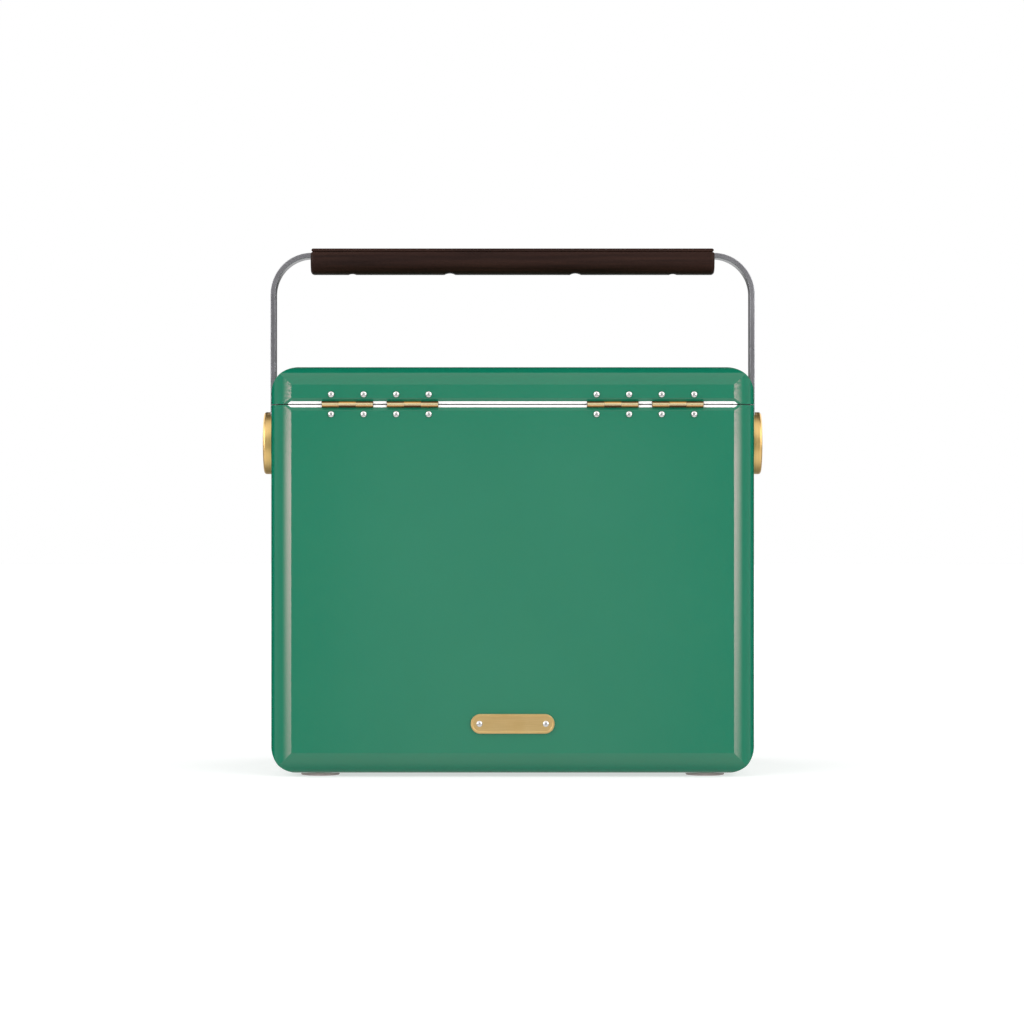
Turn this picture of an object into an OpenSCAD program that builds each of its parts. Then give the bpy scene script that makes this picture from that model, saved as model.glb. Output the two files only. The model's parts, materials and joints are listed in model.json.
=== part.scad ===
// Insulated cooler chest with a hinged lid, a swing handle, four butt hinges
// and a hasp. Millimetres. The origin is on the floor under the middle of the
// case, +Z is up, -Y is the front and +Y is the hinge side.

/* [Case] */
// Width of the case
case_w = 380.8; // [360:0.1:420]
// Depth of the case, front to back
case_d = 255; // [240:1:280]
// Height of the lower case, from its underside to the seam
base_h = 290.2; // [260:0.1:320]
// Height of the lid above the seam
lid_h = 29.7; // [29:0.1:36]
// Radius of the rounded edges of the case
edge_r = 22.5; // [20:0.5:24]
// Radius of the lid's top edges at the front and back
lid_edge_r = 19.4; // [17:0.1:20]
// How far the edge arcs run past the front and back faces, which leaves a crease
edge_over = 0.7; // [0.4:0.1:1.2]
// Wall thickness of the outer shells
shell_t = 3; // [2.5:0.5:4]
// Gap between the two shells at the seam
seam_gap = 0.8; // [0.6:0.1:1.2]
// Half height of the V groove along the back seam
groove_h = 4.9; // [4:0.1:5.5]
// Depth of the V groove
groove_depth = 2.45; // [2:0.05:2.8]

/* [Liner] */
// Distance from the outside of the case to the inside of the tub
wall_t = 34; // [30:1:40]
// Thickness of the liner
liner_t = 2.5; // [2:0.5:3.5]
// Corner radius of the tub
tub_r = 20; // [12:1:30]
// How far the liner rims stay inside the case outline
rim_inset = 1.25; // [1:0.05:1.5]
// Height of the liner rims from the seam
rim_h = 2.3; // [2:0.1:2.6]
// Depth of the lid plug that enters the tub
plug_h = 8; // [5:1:12]

/* [Handle] */
// Height of the handle pivot below the seam
pivot_drop = 28.2; // [24:0.1:36]
// Distance between the outer faces of the strap's two legs
strap_w = 394; // [394:1:398]
// Thickness of the strap
strap_t = 4; // [3:0.5:4]
// Width of the strap
strap_d = 23; // [18:1:26]
// Outer bend radius of the strap
strap_r = 33.5; // [28:0.5:38]
// Height of the strap's top face above the pivot
strap_rise = 154.7; // [150:0.1:165]
// Length of the grip
grip_l = 328.8; // [300:0.1:330]
// Width of the grip
grip_d = 28; // [25:1:30]
// Height of the grip's lower part
grip_h = 18.1; // [17:0.1:19]
// Height of the grip's top strip
grip_top_h = 2.5; // [2.5:0.1:4]
// Diameter of the pivot caps
cap_d = 50.6; // [44:0.1:52]
// Thickness of the pivot caps
cap_t = 5.5; // [5:0.1:7]

/* [Hinges] */
// Distances of the hinge centres from the middle of the case
hinge_x = [78.5, 129.5];
// Length of one hinge
hinge_l = 40; // [36:1:44]
// Diameter of the hinge barrel
barrel_d = 4.6; // [4.2:0.1:4.8]
// Diameter of the hinge pin
pin_d = 2.4; // [2:0.1:2.6]
// Distance of the hinge screws from the seam
hinge_screw_z = 7.75; // [7:0.25:9]
// Distance between a hinge's two screws
hinge_screw_gap = 25.5; // [22:0.5:28]

/* [Hardware] */
// Head diameter of the small screws
screw_head_d = 4.7; // [4.5:0.1:5.4]
// Head height of the small screws
screw_head_h = 1.7; // [1.4:0.1:1.8]
// Shank diameter of the small screws
screw_d = 3; // [2.5:0.5:3]
// Width of the badge plate
badge_w = 65.6; // [58:0.1:70]
// Height of the badge plate
badge_h = 15.3; // [14:0.1:18]
// Height of the badge plate's centre above the floor
badge_z = 42.3; // [36:0.1:60]
// Diameter of the feet
foot_d = 30.5; // [26:0.5:32]
// Height of the feet
foot_h = 2.4; // [2:0.1:4]
// Height of the hasp pivot below the seam
hasp_drop = 20.6; // [19:0.1:24]
// Distance from the hasp pivot to its stud hole
hasp_reach = 27; // [26:0.5:29]

/* [Hidden] */
$fn = 96;
eps = 0.05;
slack = 0.1;
run = 0.05;
press = 0.02;
seam_z = foot_h + base_h;
top_z = seam_z + lid_h;
case_h = base_h + lid_h;
back_y = case_d / 2;
front_y = -case_d / 2;
side_x = case_w / 2;
tub_w = case_w - 2 * wall_t;
tub_d = case_d - 2 * wall_t;
tub_floor_z = foot_h + wall_t - 1;
plug_gap = 3;
pivot_z = seam_z - pivot_drop;
strap_in_x = strap_w / 2 - strap_t;
strap_out_x = strap_w / 2;
bolt_d = 10;
bolt_thread_d = 6;
bolt_head_d = 16;
bolt_head_h = 2.2;
anchor_d = 40;
anchor_t = 2.5;
boss_d = 14;
boss_l = 11;
washer_d = 30;
washer_gap = 0.3;
skirt_t = 1.6;
skirt_h = 1.5;
grip_low_r = 11;
grip_tongue_h = 0.8;
grip_top_z = strap_rise + grip_tongue_h + 0.1;
cap_edge_r = 2;
grip_screw_x = [51.3, 131];
grip_scoop_r = [7.7, 6.1];
grip_scoop_h = [1.6, 1];
grip_bore_d = 6.2;
grip_bore_h = 3;
grip_head_d = 5.2;
grip_head_h = 1.2;
leaf_t = 1.2;
leaf_h = 15;
knuckle_l = hinge_l / 3 - 0.2;
leaf_in_y = back_y - shell_t - slack - leaf_t;
foot_x = side_x - edge_r - foot_d / 2 - 0.2;
foot_y = case_d / 2 - edge_r - foot_d / 2 + 0.3;
foot_screw_d = 4;
foot_bore_h = 1.5;
foot_head_h = 1.2;
badge_t = 1.2;
badge_rim = 1.5;
badge_rim_h = 0.5;
badge_screw_x = 26;
plate_t = 0.8;
hasp_t = 1;
hasp_gap = 0.6;
hasp_y = front_y - plate_t - hasp_gap - hasp_t / 2;
hasp_z = seam_z - hasp_drop;
hasp_pin_d = 1.5;
hasp_barrel_d = 3;
hasp_w = 15;
hasp_knuckle_l = 11.6;
side_knuckle_l = 5.6;
side_knuckle_x = 9;
stud_h = 2.2;
latch_w = 44;
latch_h = 25;
small_screw_d = 2;
small_head_d = 4;
small_head_h = 1.1;
hinges = [-hinge_x[1], -hinge_x[0], hinge_x[0], hinge_x[1]];
HINGE_NODES = [
  for (i = [1:4]) for (p = ["base_leaf", "lid_leaf", "pin"]) str("hinge_", i, "_", p)
];
SIDES = ["left", "right"];
PIVOT_NODES = [
  for (s = SIDES) for (p = ["anchor", "washer", "bolt", "cap"]) str("pivot_", p, "_", s)
];
FEET = ["front_left", "front_right", "back_left", "back_right"];
FOOT_NODES = [for (f = FEET) str("foot_", f)];

shell_green = [0.10, 0.42, 0.32];
liner_white = [0.92, 0.92, 0.90];
foam_yellow = [0.88, 0.82, 0.62];
brass_gold = [0.80, 0.62, 0.34];
steel_grey = [0.62, 0.62, 0.63];
grip_brown = [0.13, 0.07, 0.05];
rubber_grey = [0.55, 0.52, 0.50];

// ---------- shared shapes ----------

// Rectangle with true round corners, centred
module round_rect(size, r) {
  square([size[0] - 2 * r, size[1]], center = true);
  square([size[0], size[1] - 2 * r], center = true);
  for (x = [-1, 1])
    for (y = [-1, 1])
      translate([x * (size[0] / 2 - r), y * (size[1] / 2 - r)])
        circle(r);
}

module along_x(l) {
  rotate([90, 0, 90])
    linear_extrude(l, center = true)
      children();
}

module along_y(l) {
  rotate([90, 0, 0])
    linear_extrude(l, center = true)
      children();
}

module rod_x(d, l) {
  rotate([0, 90, 0])
    cylinder(d = d, h = l, center = true);
}

// Plan outline of the case, drawn in by inset
module plan_outline(inset) {
  intersection() {
    square([case_w - 2 * inset, case_d - 2 * inset], center = true);
    round_rect([case_w - 2 * inset, case_d + 2 * edge_over - 2 * inset], edge_r - inset);
  }
}

// Front outline of the whole case, lid included
module front_outline(inset) {
  translate([0, foot_h + case_h / 2])
    round_rect([case_w - 2 * inset, case_h - 2 * inset], edge_r - inset);
}

// Side outline of the whole case, lid included
module side_outline(inset) {
  d = case_d + 2 * edge_over - 2 * inset;
  intersection() {
    translate([-case_d / 2 + inset, foot_h + inset])
      square([case_d - 2 * inset, case_h - 2 * inset]);
    translate([0, foot_h + inset + case_h])
      round_rect([d, 2 * case_h], edge_r - inset);
    translate([0, top_z - inset - case_h])
      round_rect([d, 2 * case_h], lid_edge_r - inset);
  }
}

// The rounded block that both shells are cut from
module case_block(inset) {
  intersection() {
    linear_extrude(top_z + 10)
      plan_outline(inset);
    along_y(case_d + 20)
      front_outline(inset);
    along_x(case_w + 20)
      side_outline(inset);
  }
}

module slice(z0, z1) {
  translate([-case_w, -case_d, z0])
    cube([2 * case_w, 2 * case_d, z1 - z0]);
}

// V groove along the back seam
module seam_groove() {
  out = 1;
  rise = groove_h * (1 + out / groove_depth);
  translate([0, back_y, seam_z])
    along_x(case_w + 20)
      polygon([[out, rise], [-groove_depth, 0], [out, -rise]]);
}

// Room in the shells and liners for the hinge barrels and leaves
module hinge_room() {
  for (x = hinges)
    translate([x, 0, seam_z]) {
      translate([0, back_y, 0])
        rod_x(barrel_d + 0.9, hinge_l + 0.6);
      translate([-hinge_l / 2 - 0.3, leaf_in_y - slack, -rim_h - slack])
        cube([hinge_l + 0.6, back_y - leaf_in_y, 2 * (rim_h + slack)]);
    }
}

// Room in the foam for the hinge leaves
module leaf_room() {
  for (x = hinges)
    translate([x - hinge_l / 2 - 0.3, leaf_in_y - slack, seam_z - leaf_h - 0.5])
      cube([hinge_l + 0.6, back_y - leaf_in_y, 2 * leaf_h + 1]);
}

// Holes for one row of hinge screws: side is 1 for the lid and -1 for the base
module hinge_screw_holes(side, d) {
  for (x = hinges)
    for (s = [-1, 1])
      translate([x + s * hinge_screw_gap / 2, back_y - 8, seam_z + side * hinge_screw_z])
        rotate([90, 0, 0])
          cylinder(d = d, h = 24, center = true);
}

// Cross-recess pan head screw: the underside of its head is at z = 0
module pan_screw(head_d, head_h, shank_d, shank_l) {
  difference() {
    union() {
      rotate_extrude()
        intersection() {
          square([head_d / 2, head_h]);
          translate([0, head_h - head_d * 0.9])
            circle(head_d * 0.9);
        }
      translate([0, 0, -shank_l])
        cylinder(d = shank_d, h = shank_l + eps);
    }
    for (a = [0, 90])
      rotate(a)
        translate([-head_d * 0.27, -head_d * 0.05, head_h * 0.45])
          cube([head_d * 0.54, head_d * 0.1, head_h]);
  }
}

// ---------- lower case ----------

module base_shell() {
  color(shell_green)
    difference() {
      intersection() {
        case_block(0);
        slice(0, seam_z - seam_gap / 2);
      }
      intersection() {
        case_block(shell_t);
        slice(0, seam_z + 1);
      }
      intersection() {
        case_block(rim_inset - slack);
        slice(seam_z - rim_h - slack, seam_z + 1);
      }
      seam_groove();
      hinge_room();
      hinge_screw_holes(-1, screw_d + slack);
      pivot_holes(bolt_thread_d + 0.4);
      foot_screw_holes(foot_screw_d + slack);
      badge_screw_holes(screw_d + slack);
      latch_screw_holes();
    }
}

module base_insulation() {
  color(foam_yellow)
    difference() {
      intersection() {
        case_block(shell_t + slack);
        slice(0, seam_z - rim_h - slack);
      }
      translate([0, 0, tub_floor_z - liner_t - slack])
        linear_extrude(case_h)
          round_rect([tub_w, tub_d] + (2 * liner_t + 2 * slack) * [1, 1], tub_r + liner_t);
      leaf_room();
      hinge_screw_holes(-1, screw_d + slack);
      pivot_anchor_room();
      foot_screw_holes(foot_screw_d + slack);
      badge_screw_holes(screw_d + slack);
      latch_screw_holes();
    }
}

module base_liner() {
  color(liner_white)
    difference() {
      union() {
        intersection() {
          case_block(rim_inset);
          slice(seam_z - rim_h, seam_z - seam_gap / 2 - eps);
        }
        translate([0, 0, tub_floor_z - liner_t])
          linear_extrude(seam_z - rim_h - tub_floor_z + liner_t + eps)
            round_rect([tub_w, tub_d] + 2 * liner_t * [1, 1], tub_r + liner_t);
      }
      translate([0, 0, tub_floor_z])
        linear_extrude(case_h)
          round_rect([tub_w, tub_d], tub_r);
      hinge_room();
    }
}

// ---------- lid ----------

module lid_shell() {
  color(shell_green)
    difference() {
      intersection() {
        case_block(0);
        slice(seam_z + seam_gap / 2, top_z + 1);
      }
      intersection() {
        case_block(shell_t);
        slice(seam_z - 1, top_z + 1);
      }
      intersection() {
        case_block(rim_inset - slack);
        slice(seam_z - 1, seam_z + rim_h + slack);
      }
      seam_groove();
      hinge_room();
      hinge_screw_holes(1, screw_d + slack);
      keeper_screw_holes();
    }
}

module lid_insulation() {
  color(foam_yellow)
    difference() {
      union() {
        intersection() {
          case_block(shell_t + slack);
          slice(seam_z + rim_h + slack, top_z);
        }
        translate([0, 0, seam_z - plug_h + liner_t + slack])
          linear_extrude(plug_h - liner_t + rim_h)
            plug_outline(liner_t + slack);
      }
      leaf_room();
      hinge_screw_holes(1, screw_d + slack);
      keeper_screw_holes();
    }
}

// Outline of the lid's plug, drawn in by inset
module plug_outline(inset) {
  in = 2 * plug_gap + 2 * inset;
  round_rect([tub_w - in, tub_d - in], tub_r - plug_gap - inset);
}

module gasket_ring(w) {
  size = [tub_w + 24, tub_d + 24];
  difference() {
    round_rect(size + w * [1, 1], tub_r + 12 + w / 2);
    round_rect(size - w * [1, 1], tub_r + 12 - w / 2);
  }
}

module lid_liner() {
  color(liner_white)
    difference() {
      union() {
        intersection() {
          case_block(rim_inset);
          slice(seam_z + seam_gap / 2 + eps, seam_z + rim_h);
        }
        translate([0, 0, seam_z - plug_h])
          linear_extrude(plug_h + rim_h)
            plug_outline(0);
      }
      translate([0, 0, seam_z - plug_h + liner_t])
        linear_extrude(plug_h + rim_h)
          plug_outline(liner_t);
      translate([0, 0, seam_z])
        linear_extrude(seam_gap / 2 + 0.9)
          gasket_ring(6 + slack);
      hinge_room();
    }
}

module lid_gasket() {
  color(rubber_grey)
    translate([0, 0, seam_z - seam_gap / 2 + 0.25])
      linear_extrude(seam_gap + 0.6)
        gasket_ring(6);
}

// ---------- hinges ----------

// One leaf: side is 1 for the lid and -1 for the base; knuckles are the barrel pieces it carries
module hinge_leaf(i, side, knuckles, bore) {
  color(brass_gold)
    translate([hinges[i - 1], 0, seam_z])
      difference() {
        union() {
          for (k = knuckles)
            translate([k * hinge_l / 3, 0, 0]) {
              translate([0, back_y, 0])
                rod_x(barrel_d, knuckle_l);
              translate([-knuckle_l / 2, leaf_in_y, min(0.2 * side, 1.4 * side)])
                cube([knuckle_l, back_y - leaf_in_y, 1.2]);
            }
          translate([-hinge_l / 2, leaf_in_y, min(0.2 * side, leaf_h * side)])
            cube([hinge_l, leaf_t, leaf_h - 0.2]);
        }
        translate([0, back_y, 0])
          rod_x(bore, hinge_l + 2);
        for (s = [-1, 1])
          translate([s * hinge_screw_gap / 2, leaf_in_y, side * hinge_screw_z])
            rotate([90, 0, 0])
              cylinder(d = screw_d + slack, h = 10, center = true);
      }
}

module hinge_pin(i) {
  color(steel_grey)
    translate([hinges[i - 1], back_y, seam_z])
      rod_x(pin_d, hinge_l - 0.4);
}

module hinge_screws(side) {
  color(steel_grey)
    for (x = hinges)
      for (s = [-1, 1])
        translate([x + s * hinge_screw_gap / 2, back_y, seam_z + side * hinge_screw_z])
          rotate([-90, 0, 0])
            rotate(x)
              pan_screw(screw_head_d, screw_head_h, screw_d, 9);
}

// ---------- handle and its pivots ----------

module pivot_holes(d) {
  translate([0, 0, pivot_z])
    rod_x(d, case_w + 20);
}

// Room in the foam for the anchors behind the side walls
module pivot_anchor_room() {
  for (s = [-1, 1])
    translate([s * (side_x - shell_t), 0, pivot_z]) {
      rod_x(anchor_d + 1, 2 * anchor_t + 1);
      rod_x(boss_d + 1, 2 * (anchor_t + boss_l) + 1);
    }
}

module on_side(s) {
  translate([0, 0, pivot_z])
    mirror([s < 0 ? 1 : 0, 0, 0])
      children();
}

module pivot_anchor(s) {
  x0 = side_x - shell_t - anchor_t;
  color(steel_grey)
    on_side(s)
      difference() {
        union() {
          translate([x0 + anchor_t / 2 - eps, 0, 0])
            rod_x(anchor_d, anchor_t - 2 * eps);
          translate([x0 - boss_l / 2, 0, 0])
            rod_x(boss_d, boss_l);
        }
        translate([x0, 0, 0])
          rod_x(bolt_thread_d + slack, 2 * boss_l + 8);
      }
}

module pivot_washer(s) {
  t = strap_in_x - side_x - washer_gap;
  color(rubber_grey)
    on_side(s)
      translate([side_x + t / 2, 0, 0])
        difference() {
          rod_x(washer_d, t);
          rod_x(bolt_d + 0.4, t + 2);
        }
}

module pivot_bolt(s) {
  head_x = strap_out_x + 0.3;
  color(steel_grey)
    on_side(s) {
      translate([(side_x + head_x) / 2, 0, 0])
        rod_x(bolt_d, head_x - side_x);
      translate([head_x + bolt_head_h / 2, 0, 0])
        rod_x(bolt_head_d, bolt_head_h);
      translate([side_x - 7, 0, 0])
        rod_x(bolt_thread_d, 14 + 2 * eps);
    }
}

// Cap profile: radius along x, height along y, hollow over the bolt head, with a skirt below
module cap_profile() {
  rim_r = cap_d / 2;
  translate([rim_r - skirt_t, -skirt_h])
    square([skirt_t, skirt_h + eps]);
  difference() {
    intersection() {
      square([rim_r, cap_t]);
      translate([0, -cap_t])
        round_rect([cap_d, 4 * cap_t], cap_edge_r);
    }
    square([bolt_head_d / 2 + 1, bolt_head_h + 0.8]);
  }
}

// The skirt has a slot where the strap leaves it
module pivot_cap(s) {
  color(brass_gold)
    on_side(s)
      difference() {
        translate([strap_out_x, 0, 0])
          rotate([0, 90, 0])
            rotate_extrude()
              cap_profile();
        translate([strap_in_x, -strap_d / 2 - slack, 0])
          cube([strap_t, strap_d + 2 * slack, cap_d]);
      }
}

module handle_strap() {
  leg = strap_rise - strap_r;
  mid = strap_w - 2 * strap_r;
  color(steel_grey)
    translate([0, 0, pivot_z])
      difference() {
        union() {
          for (s = [-1, 1]) {
            translate([s * (strap_out_x - strap_t / 2), 0, leg / 2])
              cube([strap_t, strap_d, leg], center = true);
            translate([s * (strap_out_x - strap_t / 2), 0, 0])
              rod_x(strap_d, strap_t);
            translate([s * mid / 2, 0, leg])
              strap_bend(s);
          }
          translate([0, 0, strap_rise - strap_t / 2])
            cube([mid + 2 * eps, strap_d, strap_t], center = true);
        }
        rod_x(bolt_d + 2 * run, strap_w + 10);
        for (x = grip_screw_x)
          for (s = [-1, 1])
            translate([s * x, 0, strap_rise])
              cylinder(d = 3.6, h = 20, center = true);
      }
}

module strap_bend(s) {
  rotate([90, 0, 0])
    rotate([0, 0, s > 0 ? 0 : 90])
      rotate_extrude(angle = 90)
        translate([strap_r - strap_t / 2, 0])
          square([strap_t, strap_d], center = true);
}

// Cross-section of the grip: y across, z up, lower edge at the bottom
module grip_section(w, h, r_low, r_top) {
  intersection() {
    translate([0, h])
      round_rect([w, 2 * h], r_low);
    round_rect([w, 2 * h], r_top);
  }
}

module grip_body() {
  z0 = grip_top_z - grip_h;
  color(grip_brown)
    translate([0, 0, pivot_z])
      difference() {
        translate([0, 0, z0])
          along_x(grip_l)
            grip_section(grip_d, grip_h, grip_low_r, 1);
        translate([0, 0, strap_rise])
          cube([grip_l + 10, strap_d + 0.4, 2 * (strap_t + slack)], center = true);
        for (k = [0, 1])
          for (s = [-1, 1])
            translate([s * grip_screw_x[k], 0, z0]) {
              cylinder(d = 3.6, h = 2 * grip_h, center = true);
              cylinder(d = grip_bore_d, h = 2 * grip_bore_h, center = true);
              translate([0, 0, grip_scoop_h[k] - grip_scoop_r[k]])
                along_y(grip_d + 2)
                  circle(grip_scoop_r[k]);
            }
      }
}

module grip_top() {
  color(grip_brown)
    translate([0, 0, pivot_z + grip_top_z + slack])
      difference() {
        union() {
          along_x(grip_l - 1.4)
            grip_section(grip_d, grip_top_h, 0.6, 2);
          translate([0, 0, (eps - grip_tongue_h) / 2])
            cube([grip_l - 4, strap_d + 0.2, grip_tongue_h + eps], center = true);
        }
        for (x = grip_screw_x)
          for (s = [-1, 1])
            translate([s * x, 0, 0])
              cylinder(d = 3.1, h = 4, center = true);
      }
}

module grip_screws() {
  z0 = grip_top_z - grip_h + grip_bore_h;
  color(steel_grey)
    for (x = grip_screw_x)
      for (s = [-1, 1])
        translate([s * x, 0, pivot_z + z0])
          rotate([180, 0, 0])
            pan_screw(grip_head_d, grip_head_h, screw_d, grip_h - 1.2);
}

// ---------- feet, badge ----------

module at_feet() {
  for (x = [-1, 1])
    for (y = [-1, 1])
      translate([x * foot_x, y * foot_y, 0])
        children();
}

module foot_screw_holes(d) {
  at_feet()
    cylinder(d = d, h = 2 * (foot_h + 13));
}

module foot(x, y) {
  color(rubber_grey)
    translate([x * foot_x, y * foot_y, 0])
      difference() {
        rotate_extrude()
          intersection() {
            square([foot_d / 2, foot_h]);
            translate([0, 2 * foot_h])
              round_rect([foot_d, 4 * foot_h], 0.8);
          }
        cylinder(d = 4.4, h = 3 * foot_h, center = true);
        cylinder(d = 9, h = 2 * foot_bore_h, center = true);
      }
}

module foot_screws() {
  color(steel_grey)
    at_feet()
      translate([0, 0, foot_bore_h])
        rotate([180, 0, 0])
          pan_screw(8, foot_head_h, foot_screw_d, 13);
}

module badge_screw_holes(d) {
  for (s = [-1, 1])
    translate([s * badge_screw_x, back_y - 8, badge_z])
      rotate([90, 0, 0])
        cylinder(d = d, h = 22, center = true);
}

module badge_plate() {
  color(brass_gold)
    translate([0, back_y, badge_z])
      difference() {
        translate([0, (badge_t + badge_rim_h) / 2, 0])
          along_y(badge_t + badge_rim_h)
            round_rect([badge_w, badge_h], badge_h / 2 - 0.1);
        translate([0, badge_t + 1, 0])
          along_y(2)
            round_rect([badge_w, badge_h] - 2 * badge_rim * [1, 1], badge_h / 2 - badge_rim - 0.1);
        for (s = [-1, 1])
          translate([s * badge_screw_x, 0, 0])
            rotate([90, 0, 0])
              cylinder(d = screw_d + slack, h = 8, center = true);
      }
}

module badge_screws() {
  color(steel_grey)
    for (s = [-1, 1])
      translate([s * badge_screw_x, back_y + badge_t, badge_z])
        rotate([-90, 0, 0])
          rotate(s * 25)
            pan_screw(screw_head_d, 1.1, screw_d, 12);
}

// ---------- hasp latch on the front ----------

module at_latch_screws() {
  for (x = [-1, 1])
    for (z = [-1, 1])
      translate([x * 16.5, front_y, hasp_z - 5 + z * 8])
        rotate([90, 0, 0])
          children();
}

module at_keeper_screws() {
  for (x = [-1, 1])
    translate([x * 11.5, front_y, hasp_z + hasp_reach])
      rotate([90, 0, 0])
        children();
}

module latch_screw_holes() {
  at_latch_screws()
    translate([0, 0, -10])
      cylinder(d = small_screw_d + slack, h = 12);
}

module keeper_screw_holes() {
  at_keeper_screws()
    translate([0, 0, -10])
      cylinder(d = small_screw_d + slack, h = 12);
}

// Plate on the case with the hasp's two outer knuckles and a window behind its middle one
module latch_plate() {
  color(brass_gold)
    difference() {
      union() {
        difference() {
          translate([0, front_y - plate_t / 2, hasp_z - 5])
            along_y(plate_t)
              round_rect([latch_w, latch_h], 4);
          translate([0, front_y, hasp_z])
            cube([hasp_knuckle_l + 0.8, 4, hasp_barrel_d + 1], center = true);
        }
        for (s = [-1, 1])
          translate([s * side_knuckle_x, hasp_y, hasp_z]) {
            rod_x(hasp_barrel_d, side_knuckle_l);
            translate([-side_knuckle_l / 2, 0, -hasp_barrel_d / 2])
              cube([side_knuckle_l, front_y - hasp_y, hasp_barrel_d]);
          }
      }
      translate([0, hasp_y, hasp_z])
        rod_x(hasp_pin_d + press, latch_w);
      latch_screw_holes();
    }
}

module latch_pin() {
  color(steel_grey)
    translate([0, hasp_y, hasp_z])
      rod_x(hasp_pin_d, 2 * side_knuckle_x + side_knuckle_l - 0.2);
}

// Hasp, hanging open below its knuckle
module latch_hasp() {
  color(brass_gold)
    translate([0, hasp_y, hasp_z])
      difference() {
        union() {
          rod_x(hasp_barrel_d, hasp_knuckle_l);
          along_y(hasp_t) {
            translate([-hasp_knuckle_l / 2, -12])
              square([hasp_knuckle_l, 12]);
            translate([-hasp_w / 2, -hasp_reach])
              square([hasp_w, hasp_reach - 5]);
            translate([0, -hasp_reach])
              circle(d = hasp_w);
          }
          translate([0, hasp_t / 2 + 0.2, -hasp_reach - 6.2])
            cube([7, 0.8, 1.2], center = true);
        }
        rod_x(hasp_pin_d + 2 * run, 20);
        translate([0, 0, -hasp_reach])
          rotate([90, 0, 0])
            cylinder(d = 5.6, h = 6, center = true);
      }
}

module latch_screws() {
  color(steel_grey)
    at_latch_screws()
      translate([0, 0, plate_t])
        pan_screw(small_head_d, small_head_h, small_screw_d, 8);
}

// Plate on the lid with the stud that the hasp snaps over
module keeper_plate() {
  color(brass_gold)
    difference() {
      union() {
        translate([0, front_y - plate_t / 2, hasp_z + hasp_reach])
          along_y(plate_t)
            round_rect([31, 11], 3);
        translate([0, front_y - plate_t, hasp_z + hasp_reach])
          rotate([90, 0, 0])
            rotate_extrude()
              intersection() {
                square([2.5, stud_h]);
                translate([0, stud_h - 3])
                  circle(3);
              }
      }
      keeper_screw_holes();
    }
}

module keeper_screws() {
  color(steel_grey)
    at_keeper_screws()
      translate([0, 0, plate_t])
        pan_screw(small_head_d, small_head_h, small_screw_d, 8);
}

// ---------- nodes ----------

base_shell();
base_insulation();
base_liner();
lid_shell();
lid_insulation();
lid_liner();
lid_gasket();
for (i = [1:4]) {
  hinge_leaf(i, -1, [-1, 1], pin_d + press);
  hinge_leaf(i, 1, [0], pin_d + 2 * run);
  hinge_pin(i);
}
hinge_screws(-1);  // hinge_base_screws
hinge_screws(1);  // hinge_lid_screws
for (k = [0:1]) {
  s = 2 * k - 1;
  pivot_anchor(s);
  pivot_washer(s);
  pivot_bolt(s);
  pivot_cap(s);
}
handle_strap();
grip_body();
grip_top();
grip_screws();
for (k = [0:3])
  foot(k % 2 == 0 ? -1 : 1, k < 2 ? -1 : 1);
foot_screws();
badge_plate();
badge_screws();
latch_plate();
latch_pin();
latch_hasp();
latch_screws();
keeper_plate();
keeper_screws();
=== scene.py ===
"""Looks for the insulated cooler chest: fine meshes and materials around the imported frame."""

import json
import math

import bmesh
import bpy
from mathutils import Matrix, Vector

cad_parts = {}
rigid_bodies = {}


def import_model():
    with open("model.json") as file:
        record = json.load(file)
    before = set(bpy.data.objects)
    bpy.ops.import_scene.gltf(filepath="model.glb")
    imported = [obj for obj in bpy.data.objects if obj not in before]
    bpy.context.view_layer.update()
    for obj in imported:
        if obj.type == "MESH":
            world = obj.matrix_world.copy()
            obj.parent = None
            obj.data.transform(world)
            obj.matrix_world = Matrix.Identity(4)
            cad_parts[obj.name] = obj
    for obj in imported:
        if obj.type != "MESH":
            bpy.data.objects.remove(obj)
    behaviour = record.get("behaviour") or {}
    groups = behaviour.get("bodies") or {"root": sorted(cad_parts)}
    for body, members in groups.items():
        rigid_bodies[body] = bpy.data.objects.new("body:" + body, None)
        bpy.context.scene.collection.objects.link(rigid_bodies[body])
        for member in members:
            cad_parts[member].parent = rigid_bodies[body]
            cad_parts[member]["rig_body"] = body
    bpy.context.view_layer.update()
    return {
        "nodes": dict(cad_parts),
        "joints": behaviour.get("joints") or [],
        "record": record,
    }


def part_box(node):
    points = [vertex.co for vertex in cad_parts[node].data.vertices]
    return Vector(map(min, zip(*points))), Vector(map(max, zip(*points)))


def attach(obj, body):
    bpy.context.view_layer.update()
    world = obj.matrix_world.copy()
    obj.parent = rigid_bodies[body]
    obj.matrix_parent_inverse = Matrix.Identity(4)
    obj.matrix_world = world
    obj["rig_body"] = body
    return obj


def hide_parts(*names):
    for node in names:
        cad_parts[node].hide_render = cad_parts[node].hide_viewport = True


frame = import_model()

MM = 0.001
FULL_TURN = 2 * math.pi
QUARTER_TURN = math.pi / 2

# ---------- sizes ----------

BASE_LO, BASE_HI = (Vector(v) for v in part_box("base_shell"))
LID_LO, LID_HI = (Vector(v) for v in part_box("lid_shell"))
SIDE_X = BASE_HI.x
BACK_Y = BASE_HI.y
SEAM_Z = (BASE_HI.z + LID_LO.z) / 2
JOINTS = {j["name"]: j for j in frame["joints"]}
PIVOT_Z = JOINTS["handle_pivot"]["pos_m"][2]

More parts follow.
